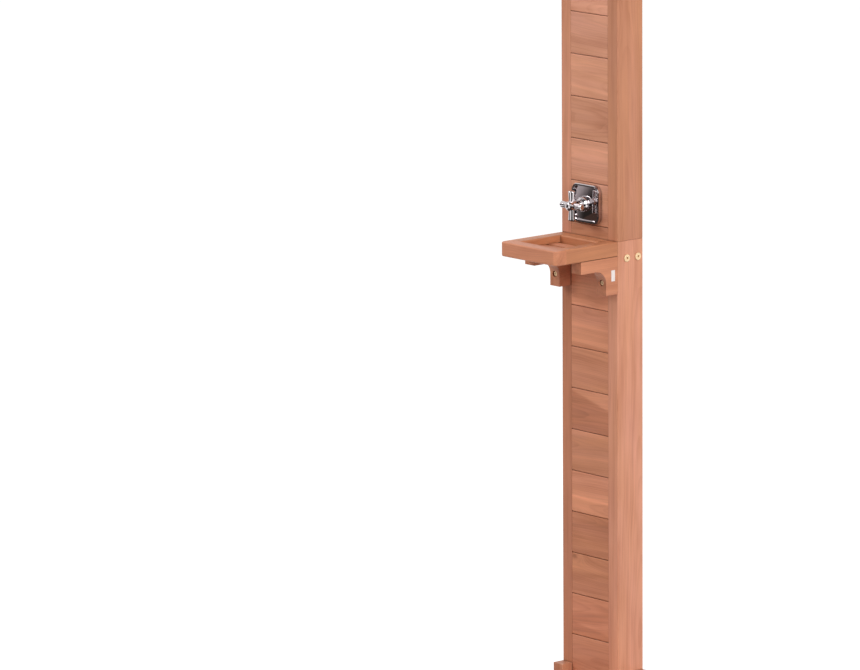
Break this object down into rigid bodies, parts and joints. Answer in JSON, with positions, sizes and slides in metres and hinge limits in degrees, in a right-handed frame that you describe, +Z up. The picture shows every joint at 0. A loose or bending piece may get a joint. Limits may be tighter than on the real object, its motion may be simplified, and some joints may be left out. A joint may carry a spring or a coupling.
{
  "type": "outdoor shower post",
  "caption": "Hollow wooden shower column with a bracketed soap tray, chrome cross-handle stop valve, rain head on an arm and a slatted standing platform.",
  "frame": {"origin": "on the floor under the middle of the square platform", "axes": "+Z up, front of the column faces -Y, +X to the right seen from the front"},
  "size_m": [0.7, 0.7, 2.136],
  "materials": {
    "upper_plank": "oiled, open grain",
    "lower_plank": "oiled, open grain",
    "front_board": "oiled, open grain",
    "back_board": "oiled, open grain",
    "tray_wood": "oiled, open grain",
    "platform_wood": "oiled, open grain",
    "hidden_wood": "sawn",
    "brass": "machined, slightly dulled",
    "copper_pipe": "drawn copper",
    "chrome": "polished chrome plate",
    "steel": "stainless",
    "rubber": "matt",
    "silicone": "soft grey",
    "blank_white": "plain film"
  },
  "bodies": {
    "post": {"platform_slats": "platform_wood", "platform_joists": "platform_wood", "platform_screws": "steel", "rubber_feet": "rubber", "lower_side_left": "lower_plank", "lower_side_right": "lower_plank", "upper_side_left": "upper_plank", "upper_side_right": "upper_plank", "lower_front_boards": "front_board", "upper_front_boards": "front_board", "lower_back_boards": "back_board", "upper_back_boards": "back_board", "lower_noggins": "hidden_wood", "upper_noggins": "hidden_wood", "top_cap": "upper_plank", "splice_block_left": "hidden_wood", "splice_block_right": "hidden_wood", "side_bolts": "brass", "splice_inserts": "brass", "splice_screws": "steel", "tray_front_rail": "tray_wood", "tray_left_rail": "tray_wood", "tray_right_rail": "tray_wood", "tray_back_rail": "tray_wood", "tray_slats": "tray_wood", "tray_bracket_left": "tray_wood", "tray_bracket_right": "tray_wood", "bracket_screws": "brass", "blank_tag": "blank_white", "front_foot_cleats": "lower_plank", "side_foot_cleats": "lower_plank", "cleat_screws": "brass", "valve_mounting_block": "hidden_wood", "valve_body": "brass", "valve_plate": "chrome", "valve_bonnet": "chrome", "valve_cartridge": "steel", "inlet_elbow": "brass", "arm_elbow": "brass", "inlet_pipe": "copper_pipe", "riser_pipe": "copper_pipe", "pipe_clips": "copper_pipe", "inlet_tailpiece": "brass", "inlet_flange": "brass", "shower_arm": "chrome", "arm_flange": "chrome", "arm_ball": "chrome"},
    "valve_handle": {"cross_handle": "chrome", "handle_screw": "steel", "handle_button": "chrome", "valve_spindle": "brass"},
    "ball_seal_ring": {"ball_seal": "rubber"},
    "rain_head": {"ball_nut": "chrome", "head_shell": "chrome", "head_face": "steel", "head_nozzles": "silicone"},
    "swivel_nut": {"hose_nut": "brass", "hose_washer": "rubber"}
  },
  "joints": [
    {"name": "handle_turn", "type": "hinge", "parent": "post", "child": "valve_handle", "pos_m": [-0.0045, 0.162, 1.159], "axis": [0, -1, 0], "range_deg": [0, 90]},
    {"name": "head_tilt_sideways", "type": "hinge", "parent": "post", "child": "ball_seal_ring", "pos_m": [0, -0.06, 1.997], "axis": [0, 1, 0], "range_deg": [-15, 15]},
    {"name": "head_tilt_forward", "type": "hinge", "parent": "ball_seal_ring", "child": "rain_head", "pos_m": [0, -0.06, 1.997], "axis": [1, 0, 0], "range_deg": [-15, 15]},
    {"name": "hose_nut_turn", "type": "hinge", "parent": "post", "child": "swivel_nut", "pos_m": [0, 0.2964, 0.208], "axis": [0, 1, 0], "continuous": true}
  ]
}
